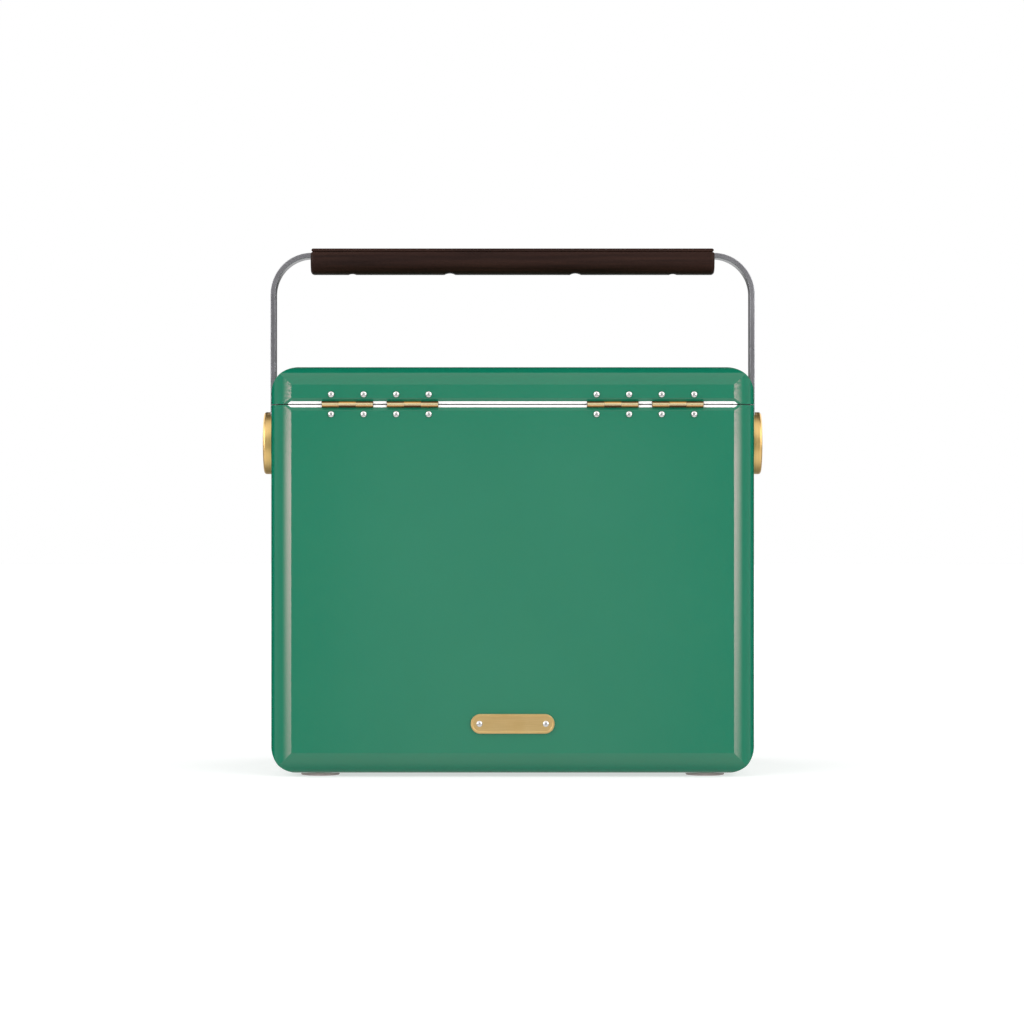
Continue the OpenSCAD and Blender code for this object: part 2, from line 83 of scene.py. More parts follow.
EDGE_R = 22.5 * MM
LID_EDGE_R = 19.4 * MM
EDGE_OVER = 0.7 * MM
SHELL_T = 3.0 * MM
RIM_INSET = 1.25 * MM
RIM_H = 2.3 * MM
GROOVE_H = 4.9 * MM
GROOVE_DEPTH = 2.45 * MM
SHELL_MARGIN = 5 * MM
SHELL_BEVEL = 0.35 * MM
FIT_GAP = 0.1 * MM
FAR = 1.0
ARC_STEP = math.radians(3)

HINGES = range(1, 5)
# Room in the shells for the hinges: round the barrel, past its ends, behind it and over it.
BARREL_GAP = 0.45 * MM
HINGE_END_GAP = 0.5 * MM
HINGE_SLOT_DEPTH = 4.4 * MM
HINGE_SLOT_HALF_H = 2.4 * MM
# How far a cutting tool starts outside the face that it cuts.
TOOL_OVERRUN = 1 * MM
# Heights from the seam at which a knuckle's middle tone starts and stops to give way to the painted
# reflection bands.
KNUCKLE_REFLECTION_BAND = (0.5 * MM, 1.1 * MM)

STRAP_T = 4.0 * MM
STRAP_BEND_R = 33.5 * MM
STRAP_EDGE_R = 0.5 * MM
STRAP_TIP_HALF_W = 0.02 * MM
STRAP_END_STEPS = 24
STRAP_SLACK = 0.1 * MM
BOLT_HOLE_R = 5.05 * MM

# Radius and height of the room over the bolt's head.
BOLT_HEAD_ROOM = (9.0 * MM, 3.0 * MM)
CAP_SKIRT_T = 1.6 * MM
CAP_EDGE_R = 2.0 * MM
CAP_CHAMFER = 0.3 * MM

# Radii of the grip's lower edges, upper edges and ends, then of the strip's.
GRIP_RADII = (11 * MM, 1.0 * MM, 2.6 * MM)
STRIP_RADII = (0.5 * MM, 1.9 * MM, 1.4 * MM)
GRIP_END_STEPS = 12
# Radius and height of each screw's bore.
GRIP_BORE = (3.1 * MM, 3.0 * MM)
# Distance from the middle, radius and height of each notch under the grip.
GRIP_SCOOPS = ((51.3 * MM, 7.7 * MM, 1.6 * MM), (131 * MM, 6.1 * MM, 1.0 * MM))

FLOOR_R = 12
FLOOR_T = 0.02

CAMERA_DISTANCE = 3.0
CAMERA_X = 0.5 * MM
CAMERA_Z = 208.2 * MM
VIEW_WIDTH = 802.2 * MM
SENSOR = 36.0
AMBIENT = 0.01


# ---------- mesh helpers ----------

def new_object(name, mesh):
    obj = bpy.data.objects.new(name, mesh)
    bpy.context.scene.collection.objects.link(obj)
    return obj


def from_bmesh(name, bm):
    """Makes an object of a bmesh, with its faces turned outwards."""
    mesh = bpy.data.meshes.new(name)
    bmesh.ops.recalc_face_normals(bm, faces=bm.faces)
    bm.to_mesh(mesh)
    bm.free()
    return new_object(name, mesh)


def arc(cx, cy, r, a0, a1):
    """Points on an arc from angle a0 to a1, both ends included."""
    steps = max(2, math.ceil(abs(a1 - a0) / ARC_STEP))
    angles = [a0 + (a1 - a0) * i / steps for i in range(steps + 1)]
    return [(cx + r * math.cos(a), cy + r * math.sin(a)) for a in angles]


def round_outline(u0, u1, v0, v1, r):
    """A rectangle with equal round corners."""
    quarter = QUARTER_TURN
    return (
        arc(u1 - r, v1 - r, r, 0, quarter)
        + arc(u0 + r, v1 - r, r, quarter, 2 * quarter)
        + arc(u0 + r, v0 + r, r, 2 * quarter, 3 * quarter)
        + arc(u1 - r, v0 + r, r, 3 * quarter, 4 * quarter)
    )


def circle(cx, cy, r):
    return arc(cx, cy, r, 0, FULL_TURN)[:-1]


def creased_outline(u0, u1, v0, v1, r0, r1):
    """Outline whose corner arcs run smoothly into the u sides and meet the v sides at a crease."""
    a0 = math.asin((r0 - EDGE_OVER) / r0)
    a1 = math.asin((r1 - EDGE_OVER) / r1)
    top, low = v1 + EDGE_OVER, v0 - EDGE_OVER
    return (
        arc(u1 - r1, top - r1, r1, 0, a1)
        + arc(u0 + r0, top - r0, r0, math.pi - a0, math.pi)
        + arc(u0 + r0, low + r0, r0, math.pi, math.pi + a0)
        + arc(u1 - r1, low + r1, r1, 2 * math.pi - a1, 2 * math.pi)
    )


def prism(name, outline, place, lo, hi):
    """Extrudes an outline from lo to hi; place(u, v, w) gives the point in space."""
    bm = bmesh.new()
    ends = [[bm.verts.new(place(u, v, w)) for u, v in outline] for w in (lo, hi)]
    bm.faces.new(ends[0])
    bm.faces.new(reversed(ends[1]))
    count = len(outline)
    for i in range(count):
        j = (i + 1) % count
        bm.faces.new((ends[0][i], ends[0][j], ends[1][j], ends[1][i]))
    return from_bmesh(name, bm)


def along_x(u, v, w):
    return (w, u, v)


def along_y(u, v, w):
    return (u, w, v)


def along_z(u, v, w):
    return (u, v, w)


def box(name, lo, hi):
    outline = [(lo[0], lo[1]), (hi[0], lo[1]), (hi[0], hi[1]), (lo[0], hi[1])]
    return prism(name, outline, along_z, lo[2], hi[2])


def rod_x(name, x0, x1, y, z, r):
    return prism(name, circle(y, z, r), along_x, x0, x1)


def boolean(target, tool, operation):
    """Applies one exact boolean to target's mesh and removes the tool."""
    mod = target.modifiers.new("cut", "BOOLEAN")
    mod.operation = operation
    mod.solver = "EXACT"
    mod.object = tool
    graph = bpy.context.evaluated_depsgraph_get()
    mesh = bpy.data.meshes.new_from_object(target.evaluated_get(graph))
    target.modifiers.remove(mod)
    target.data = mesh
    bpy.data.objects.remove(tool)
    return target


def smooth_with_bevel(obj, width, segments=2, angle=11):
    """Rounds the sharp edges and shades the rest smoothly, with flat faces kept flat."""
    obj.data.shade_smooth()
    if width:
        bevel = obj.modifiers.new("edge_round", "BEVEL")
        bevel.width = width
        bevel.segments = segments
        bevel.limit_method = "ANGLE"
        bevel.angle_limit = math.radians(angle)
        bevel.use_clamp_overlap = True
        bevel.miter_outer = "MITER_ARC"
    normals = obj.modifiers.new("flat_faces", "WEIGHTED_NORMAL")
    normals.mode = "FACE_AREA"
    normals.weight = 60
    normals.keep_sharp = True


def lathe(name, profile, centre, direction, steps=128):
    """Turns a profile of (radius, distance along direction) about the x axis through centre."""
    bm = bmesh.new()
    rings = []
    for r, d in profile:
        if r < 1e-7:
            rings.append([bm.verts.new((centre[0] + direction * d, centre[1], centre[2]))])
            continue
        ring = []
        for i in range(steps):
            a = FULL_TURN * i / steps
            ring.append(bm.verts.new((
                centre[0] + direction * d,
                centre[1] + r * math.cos(a),
                centre[2] + r * math.sin(a),
            )))
        rings.append(ring)
    for a, b in zip(rings, rings[1:]):
        if len(a) == 1 and len(b) == 1:
            continue
        for i in range(steps):
            j = (i + 1) % steps
            if len(a) == 1:
                bm.faces.new((a[0], b[i], b[j]))
            elif len(b) == 1:
                bm.faces.new((a[i], a[j], b[0]))
            else:
                bm.faces.new((a[i], a[j], b[j], b[i]))
    return from_bmesh(name, bm)


# ---------- materials ----------

class Graph:
    """Short calls for the nodes of a material or the world."""

    def __init__(self, tree):
        self.nodes = tree.nodes
        self.links = tree.links

    def node(self, kind, inputs=None, **settings):
        node = self.nodes.new(kind)
        for key, value in settings.items():
            setattr(node, key, value)
        for key, value in (inputs or {}).items():
            if isinstance(value, bpy.types.NodeSocket):
                self.links.new(value, node.inputs[key])
            else:
                node.inputs[key].default_value = value
        return node

    def math(self, operation, a, b=0.0):
        return self.node("ShaderNodeMath", {0: a, 1: b}, operation=operation).outputs[0]

    def remap(self, value, low, high, new_low, new_high, interpolation="LINEAR"):
        inputs = {
            "Value": value, "From Min": low, "From Max": high, "To Min": new_low, "To Max": new_high
        }
        return self.node("ShaderNodeMapRange", inputs, interpolation_type=interpolation).outputs["Result"]


class Shader(Graph):
    """A material with a Principled shader."""

    def __init__(self, name, **sockets):
        self.material = bpy.data.materials.new(name)
        self.material.use_nodes = True
        super().__init__(self.material.node_tree)
        self.bsdf = self.nodes["Principled BSDF"]
        for socket, value in sockets.items():
            self.bsdf.inputs[socket.replace("_", " ")].default_value = value

    def position(self, scale=(1, 1, 1), offset=(0, 0, 0)):
        """The point in the object's frame, in metres, moved and then stretched."""
        coords = self.node("ShaderNodeTexCoord")
        start = {0: coords.outputs["Object"], 1: offset}
        moved = self.node("ShaderNodeVectorMath", start, operation="SUBTRACT")
        stretch = {0: moved.outputs[0], 1: scale}
        return self.node("ShaderNodeVectorMath", stretch, operation="MULTIPLY").outputs[0]

    def noise(self, where, scale, detail=3.0, roughness=0.5):
        inputs = {"Vector": where, "Scale": scale, "Detail": detail, "Roughness": roughness}
        return self.node("ShaderNodeTexNoise", inputs).outputs["Fac"]

    def mix(self, factor, a, b):
        inputs = {0: factor, 6: a, 7: b}
        return self.node("ShaderNodeMix", inputs, data_type="RGBA").outputs[2]

    def bump(self, height, strength, distance, below=None):
        inputs = {"Height": height, "Strength": strength, "Distance": distance}
        if below is not None:
            inputs["Normal"] = below
        return self.node("ShaderNodeBump", inputs).outputs["Normal"]

    def set(self, socket, output):
        self.links.new(output, self.bsdf.inputs[socket])


def rgb(r, g, b):
    """Linear colour from the 0 to 255 numbers of a colour picker."""
    def linear(c):
        c /= 255
        return c / 12.92 if c <= 0.04045 else ((c + 0.055) / 1.055) ** 2.4
    return (linear(r), linear(g), linear(b), 1.0)


def green_paint():
    """Glossy green paint whose reflections are a little warm."""
    s = Shader("green_shell", Metallic=0.0, IOR=1.5)
    s.bsdf.inputs["Specular Tint"].default_value = (1.0, 0.55, 0.62, 1.0)
    where = s.position()
    cloud = s.noise(where, 9.0, 4.0, 0.55)
    fine = s.noise(where, 46.0, 3.0, 0.6)
    wide = s.mix(s.remap(cloud, 0.35, 0.65, 0, 1), rgb(6, 106, 80), rgb(14, 108, 82))
    s.set("Base Color", s.mix(s.remap(fine, 0.3, 0.7, 0.0, 0.25), wide, rgb(24, 109, 79)))
    s.set("Roughness", s.remap(fine, 0.3, 0.7, 0.06, 0.10))
    peel = s.noise(where, 420.0, 2.0, 0.5)
    s.set("Normal", s.bump(peel, 0.10, 0.00025))
    return s.material


def white_plastic():
    s = Shader("white_liner", Metallic=0.0, IOR=1.46)
    where = s.position()
    cloud = s.noise(where, 14.0, 3.0)
    s.set("Base Color", s.mix(cloud, (0.80, 0.80, 0.78, 1), (0.88, 0.88, 0.87, 1)))
    s.set("Roughness", s.remap(s.noise(where, 60.0), 0.3, 0.7, 0.28, 0.40))
    s.set("Normal", s.bump(s.noise(where, 900.0, 2.0), 0.08, 0.0001))
    return s.material


def brass(name, stretch):
    """Brushed brass; stretch is small along the brushing and large across it."""
    s = Shader(name, Metallic=1.0)
    lines = s.noise(s.position(stretch), 1.0, 4.0, 0.6)
    cloud = s.noise(s.position(), 60.0, 3.0)
    tone = s.mix(s.remap(lines, 0.35, 0.65, 0, 1), rgb(218, 186, 126), rgb(230, 200, 142))
    s.set("Base Color", s.mix(s.remap(cloud, 0.35, 0.7, 0, 0.35), tone, rgb(212, 172, 106)))
    s.set("Roughness", s.remap(lines, 0.3, 0.7, 0.30, 0.42))
    s.set("Normal", s.bump(lines, 0.25, 0.00008))
    return s.material


def knuckle_brass_painted_reflections(name, above, below):
    """Hinge barrel: plain brass along its middle, with a painted reflection band above the seam and
    another below it.
    """
    s = Shader(name, Metallic=1.0)
    lines = s.noise(s.position((2500, 1200, 1200)), 1.0, 4.0, 0.6)
    height = s.node("ShaderNodeSeparateXYZ", {0: s.position(offset=(0, 0, SEAM_Z))}).outputs["Z"]
    height = s.math("ADD", height, s.remap(lines, 0.3, 0.7, -0.1 * MM, 0.1 * MM))
    tone = s.mix(s.remap(lines, 0.35, 0.65, 0, 1), rgb(222, 206, 158), rgb(238, 224, 180))
    near, far = KNUCKLE_REFLECTION_BAND
    # Painted reflections: the tone above the seam and the tone below it stand in for what the barrel
    # would mirror.
    tone = s.mix(s.remap(height, near, far, 0, 1, "SMOOTHSTEP"), tone, above)
    tone = s.mix(s.remap(height, -far, -near, 1, 0, "SMOOTHSTEP"), tone, below)
    s.set("Base Color", tone)
    s.set("Roughness", s.remap(lines, 0.3, 0.7, 0.26, 0.40))
    s.set("Normal", s.bump(lines, 0.25, 0.00006))
    return s.material


def turned_brass():
    """Brass with the fine rings of a lathe around the handle's pivot."""
    s = Shader("brass_turned", Metallic=1.0)
    flat = s.position((0, 1, 1), (0, 0, PIVOT_Z))
    radius = s.node("ShaderNodeVectorMath", {0: flat}, operation="LENGTH").outputs["Value"]
    along = s.node("ShaderNodeSeparateXYZ", {0: s.position()}).outputs["X"]
    rings = s.node("ShaderNodeCombineXYZ", {"X": radius, "Y": along}).outputs[0]
    lines = s.noise(rings, 2600.0, 4.0, 0.65)
    cloud = s.noise(s.position(), 70.0, 3.0)
    tone = s.mix(s.remap(lines, 0.35, 0.65, 0, 1), rgb(224, 184, 116), rgb(236, 202, 140))
    s.set("Base Color", s.mix(s.remap(cloud, 0.35, 0.7, 0, 0.3), tone, rgb(220, 174, 100)))
    s.set("Roughness", s.remap(lines, 0.3, 0.7, 0.34, 0.46))
    s.set("Normal", s.bump(lines, 0.3, 0.00006))
    return s.material


def brushed_steel(name, stretch, dark, light):
    s = Shader(name, Metallic=1.0)
    lines = s.noise(s.position(stretch), 1.0, 4.0, 0.6)
    s.set("Base Color", s.mix(s.remap(lines, 0.35, 0.65, 0, 1), dark, light))
    s.set("Roughness", s.remap(lines, 0.3, 0.7, 0.24, 0.34))
    s.set("Normal", s.bump(lines, 0.25, 0.00006))
    return s.material


def plated_steel():
    s = Shader("screw_steel", Metallic=1.0)
    where = s.position()
    s.set("Base Color", s.mix(s.noise(where, 900.0), rgb(176, 175, 174), rgb(214, 213, 211)))
    s.set("Roughness", s.remap(s.noise(where, 1400.0), 0.3, 0.7, 0.20, 0.34))
    s.set("Normal", s.bump(s.noise(where, 2600.0), 0.1, 0.00005))
    return s.material


def dark_grip():
    s = Shader("grip_wood", Metallic=0.0, IOR=1.5)
    s.bsdf.inputs["Specular IOR Level"].default_value = 0.12
    grain = s.noise(s.position((9, 260, 260)), 1.0, 5.0, 0.62)
    cloud = s.noise(s.position((12, 40, 40)), 1.0, 3.0)
    tone = s.mix(s.remap(grain, 0.35, 0.65, 0, 1), rgb(28, 14, 10), rgb(46, 26, 19))
    s.set("Base Color", s.mix(s.remap(cloud, 0.35, 0.65, 0, 0.5), tone, rgb(38, 19, 14)))
    s.set("Roughness", s.remap(grain, 0.3, 0.7, 0.42, 0.58))
    pores = s.noise(s.position((90, 900, 900)), 1.0, 3.0)
    s.set("Normal", s.bump(pores, 0.2, 0.00015, s.bump(grain, 0.2, 0.0003)))
    return s.material


def soft_rubber(name, dark, light):
    s = Shader(name, Metallic=0.0)
    where = s.position()
    s.set("Base Color", s.mix(s.noise(where, 120.0, 4.0), dark, light))
    s.set("Roughness", s.remap(s.noise(where, 300.0), 0.3, 0.7, 0.7, 0.85))
    s.set("Normal", s.bump(s.noise(where, 1800.0, 3.0), 0.25, 0.0001))
    return s.material


def foam():
    s = Shader("foam", Metallic=0.0, Roughness=0.95)
    where = s.position()
    cells = s.node("ShaderNodeTexVoronoi", {"Vector": where, "Scale": 900.0}).outputs["Distance"]
    s.set("Base Color", s.mix(s.noise(where, 50.0), rgb(214, 190, 126), rgb(236, 216, 160)))
    s.set("Normal", s.bump(cells, 0.5, 0.0004))
    return s.material


GREEN = green_paint()
WHITE = white_plastic()
BRASS_FLAT = brass("brass_plate", (60, 4000, 3000))
# The dark and light hinge colours above and below the seam are painted reflections.
BRASS_KNUCKLE_PAINTED = {
    "base": knuckle_brass_painted_reflections("brass_hinge_base_painted_reflection", rgb(122, 90, 56), rgb(184, 132, 82)),
    "lid": knuckle_brass_painted_reflections("brass_hinge_lid_painted_reflection", rgb(196, 144, 80), rgb(112, 72, 46)),
}
BRASS_TURNED = turned_brass()
STEEL_STRAP = brushed_steel("strap_steel", (12, 4000, 12), rgb(138, 137, 141), rgb(164, 163, 167))
STEEL_SCREW = plated_steel()
GRIP = dark_grip()
RUBBER_GASKET = soft_rubber("gasket_rubber", rgb(120, 119, 119), rgb(150, 149, 149))
RUBBER_FOOT = soft_rubber("foot_rubber", rgb(150, 137, 135), rgb(180, 168, 166))
NYLON = soft_rubber("washer_nylon", rgb(30, 30, 30), rgb(44, 44, 44))
FOAM = foam()
SLOT_MATERIAL = {
    "green_shell": GREEN, "white_liner": WHITE, "foam": FOAM, "gasket_rubber": RUBBER_GASKET,
    "brass": BRASS_FLAT, "strap_steel": STEEL_STRAP, "screw_steel": STEEL_SCREW,
    "grip_wood": GRIP, "washer_nylon": NYLON, "foot_rubber": RUBBER_FOOT,
}


def dress(obj, material, body, slot, *nodes):
    """Gives a new piece its material, its body and the CAD nodes it stands for."""
    obj.data.materials.clear()
    obj.data.materials.append(material)
    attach(obj, body)
    if nodes:
        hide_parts(*nodes)
    return obj


# ---------- shells ----------

def case_block(name, inset):
    """The rounded block of the whole case and lid, drawn in by inset."""
    x = SIDE_X - inset
    y = BACK_Y - inset
    z0 = BASE_LO.z + inset
    z1 = LID_HI.z - inset
    r = EDGE_R - inset
    block = prism(name, creased_outline(-x, x, -y, y, r, r), along_z, -FAR, FAR)
    front = prism("tool", round_outline(-x, x, z0, z1, r), along_y, -FAR, FAR)
    boolean(block, front, "INTERSECT")
    side = creased_outline(z0, z1, -y, y, r, LID_EDGE_R - inset)
    boolean(block, prism("tool", [(v, u) for u, v in side], along_x, -FAR, FAR), "INTERSECT")
    return block


def keep_between(block, z0, z1):
    return boolean(block, box("tool", (-FAR, -FAR, z0), (FAR, FAR, z1)), "INTERSECT")


def hinge_spans():
    """The x range of each hinge, from its pin."""
    pins = [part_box(f"hinge_{i}_pin") for i in HINGES]
    return [(lo[0], hi[0]) for lo, hi in pins]


def cut_hinge_room(shell):
    barrel_r = (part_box("hinge_1_base_leaf")[1][2] - SEAM_Z) + BARREL_GAP
    for x0, x1 in hinge_spans():
        x0, x1 = x0 - HINGE_END_GAP, x1 + HINGE_END_GAP
        boolean(shell, rod_x("tool", x0, x1, BACK_Y, SEAM_Z, barrel_r), "DIFFERENCE")
        lo = (x0, BACK_Y - HINGE_SLOT_DEPTH, SEAM_Z - HINGE_SLOT_HALF_H)
        hi = (x1, BACK_Y + TOOL_OVERRUN, SEAM_Z + HINGE_SLOT_HALF_H)
        boolean(shell, box("tool", lo, hi), "DIFFERENCE")


def cut_groove(shell):
    """The V groove along the back seam, cut with a wedge that starts outside the face."""
    mouth_y = BACK_Y + TOOL_OVERRUN
    rise = GROOVE_H * (1 + TOOL_OVERRUN / GROOVE_DEPTH)
    outline = [(mouth_y, SEAM_Z + rise), (BACK_Y - GROOVE_DEPTH, SEAM_Z), (mouth_y, SEAM_Z - rise)]
    boolean(shell, prism("tool", outline, along_x, -FAR, FAR), "DIFFERENCE")


def shell(name, z0, z1, open_z):
    """One outer shell: the block between z0 and z1, hollow, and open towards open_z."""
    piece = keep_between(case_block(name, 0), z0, z1)
    hollow = case_block("hollow", SHELL_T)
    lo, hi = min(z0, open_z), max(z1, open_z)
    boolean(piece, keep_between(hollow, lo, hi), "DIFFERENCE")
    rebate = case_block("rebate", RIM_INSET - FIT_GAP)
    reach = RIM_H + FIT_GAP
    keep_between(rebate, SEAM_Z - reach, SEAM_Z + reach)
    boolean(piece, rebate, "DIFFERENCE")
    cut_groove(piece)
    cut_hinge_room(piece)
    smooth_with_bevel(piece, SHELL_BEVEL)
    return piece


def build_shells():
    """Each shell's block reaches past its closed side, so that only the seam is cut flat."""
    base = shell("green_base_shell", BASE_LO.z - SHELL_MARGIN, BASE_HI.z, SEAM_Z + SHELL_MARGIN)
    dress(base, GREEN, "case", "green_shell", "base_shell")
    lid = shell("green_lid_shell", LID_LO.z, LID_HI.z + SHELL_MARGIN, SEAM_Z - SHELL_MARGIN)
    dress(lid, GREEN, "lid", "green_shell", "lid_shell")


# ---------- handle ----------

def build_strap():
    """The strap: a flat section with rounded edges, swept up one leg, across and down the other."""
    lo, hi = (Vector(v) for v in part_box("handle_strap"))
    half_w = (hi.y - lo.y) / 2
    mid_x = hi.x - STRAP_T / 2
    mid_z = hi.z - STRAP_T / 2
    r = STRAP_BEND_R - STRAP_T / 2
    # Each station of the right half: x, z, the outward direction, half the width.
    stations = []
    for i in range(STRAP_END_STEPS + 1):
        a = QUARTER_TURN * i / STRAP_END_STEPS
        drop = half_w * math.cos(a)
        stations.append((mid_x, PIVOT_Z - drop, 1, 0, half_w * math.sin(a)))
    stations.append((mid_x, mid_z - r, 1, 0, half_w))
    for u, v in arc(0, 0, 1, 0, QUARTER_TURN)[1:]:
        stations.append((mid_x - r + r * u, mid_z - r + r * v, u, v, half_w))
    path = stations + [(-x, z, -nx, nz, w) for x, z, nx, nz, w in reversed(stations)]
    rings = []
    for x, z, nx, nz, w in path:
        w = max(w, STRAP_TIP_HALF_W)
        section = round_outline(-w, w, -STRAP_T / 2, STRAP_T / 2, min(STRAP_EDGE_R, w / 2))
        rings.append([(x + nx * v, u, z + nz * v) for u, v in section[::7]])
    strap = loft("steel_strap", rings)
    boolean(strap, rod_x("tool", -FAR, FAR, 0, PIVOT_Z, BOLT_HOLE_R), "DIFFERENCE")
    smooth_with_bevel(strap, 0, angle=30)
    return dress(strap, STEEL_STRAP, "handle", "strap_steel", "handle_strap")


def grip_ring(x, half_w, z0, z1, r_low, r_top, inset):
    """Section of the grip at x: z1 is its top; the lower corners are large."""
    half_w, z0, z1 = half_w - inset, z0 + inset, z1 - inset
    r_low = max(r_low - inset, 0.2 * MM)
    r_top = max(r_top - inset, 0.1 * MM)
    quarter = QUARTER_TURN
    outline = (
        arc(half_w - r_top, z1 - r_top, r_top, 0, quarter)
        + arc(-half_w + r_top, z1 - r_top, r_top, quarter, 2 * quarter)
        + arc(-half_w + r_low, z0 + r_low, r_low, 2 * quarter, 3 * quarter)
        + arc(half_w - r_low, z0 + r_low, r_low, 3 * quarter, 4 * quarter)
    )
    return [(x, y, z) for y, z in outline]


def loft(name, rings):
    """Joins rings of equal length one after the other and closes both ends."""
    bm = bmesh.new()
    rows = [[bm.verts.new(p) for p in ring] for ring in rings]
    for a, b in zip(rows, rows[1:]):
        for i in range(len(a)):
            j = (i + 1) % len(a)
            bm.faces.new((a[i], a[j], b[j], b[i]))
    bm.faces.new(rows[0])
    bm.faces.new(reversed(rows[-1]))
    return from_bmesh(name, bm)


def rounded_bar(name, x_half, half_w, z0, z1, radii):
    """A bar along x with a rounded section and rounded ends; radii are low, top and end."""
    r_low, r_top, end_r = radii
    end = []
    for i in range(GRIP_END_STEPS + 1):
        a = QUARTER_TURN * i / GRIP_END_STEPS
        end.append((x_half - end_r + end_r * math.sin(a), end_r * (1 - math.cos(a))))
    stations = [(-x, inset) for x, inset in reversed(end)] + end
    return loft(name, [grip_ring(x, half_w, z0, z1, r_low, r_top, inset) for x, inset in stations])


def build_grip():
    """The grip with its notches and screw bores, and the strip that closes it."""
    lo, hi = (Vector(v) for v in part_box("grip_body"))
    half_w = hi.y
    body = rounded_bar("grip_lower", hi.x, half_w, lo.z, hi.z, GRIP_RADII)
    bore_r, bore_h = GRIP_BORE
    for x, scoop_r, scoop_h in GRIP_SCOOPS:
        for side in (-1, 1):
            bore = circle(side * x, 0, bore_r)
            boolean(body, prism("tool", bore, along_z, lo.z - bore_h, lo.z + bore_h), "DIFFERENCE")
            scoop = circle(side * x, lo.z + scoop_h - scoop_r, scoop_r)
            boolean(body, prism("tool", scoop, along_y, -2 * half_w, 2 * half_w), "DIFFERENCE")
    smooth_with_bevel(body, 0.3 * MM, angle=35)
    dress(body, GRIP, "handle", "grip_wood", "grip_body")
    strip_z = hi.z + FIT_GAP
    hi = Vector(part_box("grip_top")[1])
    top = rounded_bar("grip_strip", hi.x, hi.y, strip_z, hi.z, STRIP_RADII)
    smooth_with_bevel(top, 0, angle=35)
    dress(top, GRIP, "handle", "grip_wood", "grip_top")


def build_caps():
    """Brass caps, hollow over the bolt head, with a skirt that is slotted for the strap."""
    strap = Vector(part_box("handle_strap")[1])
    for side, name in ((-1, "left"), (1, "right")):
        lo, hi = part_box("pivot_cap_" + name)
        skirt = strap.x - min(abs(lo[0]), abs(hi[0]))
        thick = max(abs(lo[0]), abs(hi[0])) - strap.x
        r = (hi[1] - lo[1]) / 2
        room_r, room_h = BOLT_HEAD_ROOM
        flat_r = r - CAP_EDGE_R
        profile = [(0, room_h), (room_r, room_h), (room_r, STRAP_SLACK), (r - CAP_SKIRT_T, STRAP_SLACK)]
        profile += [(r - CAP_SKIRT_T, -skirt), (r - CAP_CHAMFER, -skirt), (r, CAP_CHAMFER - skirt)]
        profile += arc(flat_r, thick - CAP_EDGE_R, CAP_EDGE_R, 0, QUARTER_TURN)
        profile += [(flat_r * part, thick) for part in (0.66, 0.33, 0)]
        cap = lathe("brass_cap_" + name, profile, (side * strap.x, 0, PIVOT_Z), side)
        slot_x = sorted((side * (strap.x - 2 * skirt), side * (strap.x + STRAP_SLACK)))
        half_w = strap.y + STRAP_SLACK
        slot = box("tool", (slot_x[0], -half_w, PIVOT_Z), (slot_x[1], half_w, PIVOT_Z + 2 * r))
        boolean(cap, slot, "DIFFERENCE")
        smooth_with_bevel(cap, 0, angle=30)
        dress(cap, BRASS_TURNED, "handle", "brass", "pivot_cap_" + name)


# ---------- hinges, screws and small hardware ----------

def finished_copy(node, name, material, slot, width, angle=30):
    """A copy of a CAD node's shape with its flat faces whole and its edges rounded."""
    source = frame["nodes"][node]
    bm = bmesh.new()
    bm.from_mesh(source.data)
    bmesh.ops.remove_doubles(bm, verts=bm.verts, dist=1e-6)
    bmesh.ops.dissolve_limit(
        bm, angle_limit=math.radians(1), verts=bm.verts, edges=bm.edges, delimit={"NORMAL"}
    )
    piece = from_bmesh(name, bm)
    smooth_with_bevel(piece, width, angle=angle)
    return dress(piece, material, source["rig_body"], slot, node)


def build_hardware():
    for i in HINGES:
        for leaf in ("base", "lid"):
            node = f"hinge_{i}_{leaf}_leaf"
            finished_copy(node, f"brass_hinge_{i}_{leaf}", BRASS_KNUCKLE_PAINTED[leaf], "brass", 0.2 * MM)
    finished_copy("badge_plate", "brass_badge", BRASS_FLAT, "brass", 0.25 * MM)
    for node in ("latch_plate", "latch_hasp", "keeper_plate"):
        finished_copy(node, "brass_" + node, BRASS_FLAT, "brass", 0.15 * MM)
    for node in ("hinge_base_screws", "hinge_lid_screws", "badge_screws", "latch_screws",
                 "keeper_screws", "grip_screws", "foot_screws"):
        finished_copy(node, "steel_" + node, STEEL_SCREW, "screw_steel", 0.12 * MM)
    for corner in ("front_left", "front_right", "back_left", "back_right"):
        finished_copy("foot_" + corner, "rubber_foot_" + corner, RUBBER_FOOT, "foot_rubber", 0.3 * MM)


def dress_cad_nodes():
    """Every CAD node that still shows gets the material of its slot."""
    slots = {p["node"]: p["material_slot"] for p in frame["record"]["subparts"]}
    for node, obj in frame["nodes"].items():
        for mesh_slot in obj.material_slots:
            mesh_slot.material = SLOT_MATERIAL[slots[node]]


# ---------- stage ----------

def build_stage():
    """A pale floor, lit a little by itself, that the object doesn't mirror."""
    floor = prism("floor", circle(0, 0, FLOOR_R), along_z, -FLOOR_T, 0)
    s = Shader("pale_floor", Metallic=0.0, Roughness=0.9)
    s.set("Base Color", s.mix(s.noise(s.position(), 3.0), (0.46, 0.46, 0.46, 1), (0.48, 0.48, 0.48, 1)))
    s.bsdf.inputs["Emission Color"].default_value = (1, 1, 1, 1)
    s.bsdf.inputs["Emission Strength"].default_value = 0.6
    floor.data.materials.append(s.material)
    floor.visible_glossy = False


def soft_window(graph, value, rise, fall):
    """1 between the rise and the fall, each a pair of angles in degrees, with soft edges."""
    up = graph.remap(value, *(math.radians(v) for v in rise), 0, 1, "SMOOTHSTEP")
    down = graph.remap(value, *(math.radians(v) for v in fall), 1, 0, "SMOOTHSTEP")
    return graph.math("MULTIPLY", up, down)


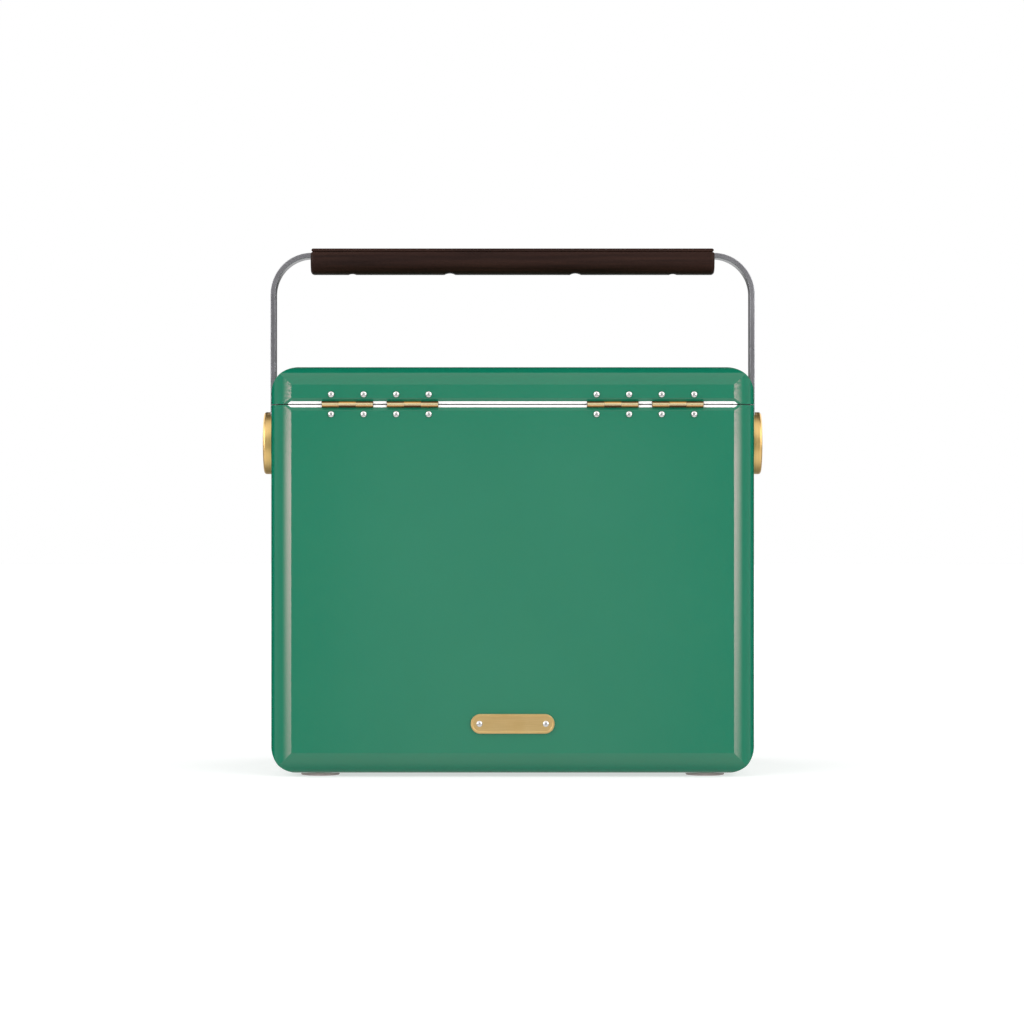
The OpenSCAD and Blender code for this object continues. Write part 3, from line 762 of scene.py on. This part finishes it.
def build_world():
    """Softboxes set by azimuth, 0 at the back and 180 at the front, and by elevation, in degrees.

    The camera sees plain white in their place.
    """
    world = bpy.data.worlds.new("studio")
    bpy.context.scene.world = world
    world.use_nodes = True
    graph = Graph(world.node_tree)
    direction = graph.node("ShaderNodeTexCoord").outputs["Generated"]
    xyz = graph.node("ShaderNodeSeparateXYZ", {0: direction}).outputs
    azimuth = graph.math("ARCTAN2", graph.math("ABSOLUTE", xyz["X"]), xyz["Y"])
    elevation = graph.math("ARCSINE", xyz["Z"])
    softboxes = (
        # radiance, azimuth rise and fall, elevation rise and fall
        (0.45, (-2, -1), (14, 24), (-16, -10), (20, 40)),
        (0.50, (-2, -1), (1.5, 4), (-16, -10), (1.2, 2.2)),
        (15.5, (17, 28), (35, 76), (-9, 5), (1.7, 2.1)),
        (1.25, (-2, -1), (40, 70), (22, 32), (79, 84)),
        (1.25, (-2, -1), (181, 182), (79, 84), (91, 92)),
        (0.5, (55, 80), (110, 130), (-20, -10), (20, 30)),
        (2.5, (16, 26), (50, 66), (5, 9), (38, 52)),
        (1.9, (50, 66), (112, 126), (5, 9), (38, 52)),
        (1.9, (112, 126), (150, 164), (5, 9), (38, 52)),
        (0.9, (110, 150), (181, 182), (-30, -18), (-8, -5)),
        (0.55, (173.5, 175), (181, 182), (-7, -5), (5, 7)),
    )
    total = AMBIENT
    for radiance, *edges in softboxes:
        across = soft_window(graph, azimuth, *edges[:2])
        up = soft_window(graph, elevation, *edges[2:])
        level = graph.math("MULTIPLY", graph.math("MULTIPLY", across, up), radiance)
        total = graph.math("ADD", total, level)
    below = graph.remap(elevation, math.radians(-28), math.radians(-14), 1, 0, "SMOOTHSTEP")
    towards_back = graph.remap(xyz["Y"], -0.5, 0.6, 0.3, 1.3, "SMOOTHSTEP")
    total = graph.math("ADD", total, graph.math("MULTIPLY", below, towards_back))
    lit = graph.node("ShaderNodeBackground", {"Color": (1, 1, 1, 1), "Strength": total})
    seen = graph.node("ShaderNodeBackground", {"Color": (1, 1, 1, 1)})
    camera_ray = graph.node("ShaderNodeLightPath").outputs["Is Camera Ray"]
    mixed = graph.node("ShaderNodeMixShader", {0: camera_ray, 1: lit.outputs[0], 2: seen.outputs[0]})
    graph.links.new(mixed.outputs[0], graph.nodes["World Output"].inputs["Surface"])


def build_camera():
    camera = bpy.data.cameras.new("camera")
    camera.sensor_width = SENSOR
    camera.lens = SENSOR * CAMERA_DISTANCE / VIEW_WIDTH
    camera.dof.use_dof = False
    obj = bpy.data.objects.new("camera", camera)
    bpy.context.scene.collection.objects.link(obj)
    obj.location = (CAMERA_X, BACK_Y + CAMERA_DISTANCE, CAMERA_Z)
    obj.rotation_euler = (QUARTER_TURN, 0, math.pi)
    bpy.context.scene.camera = obj


build_camera()
dress_cad_nodes()
build_shells()
build_strap()
build_grip()
build_caps()
build_hardware()
build_stage()
build_world()
bpy.context.scene.view_settings.view_transform = "Standard"
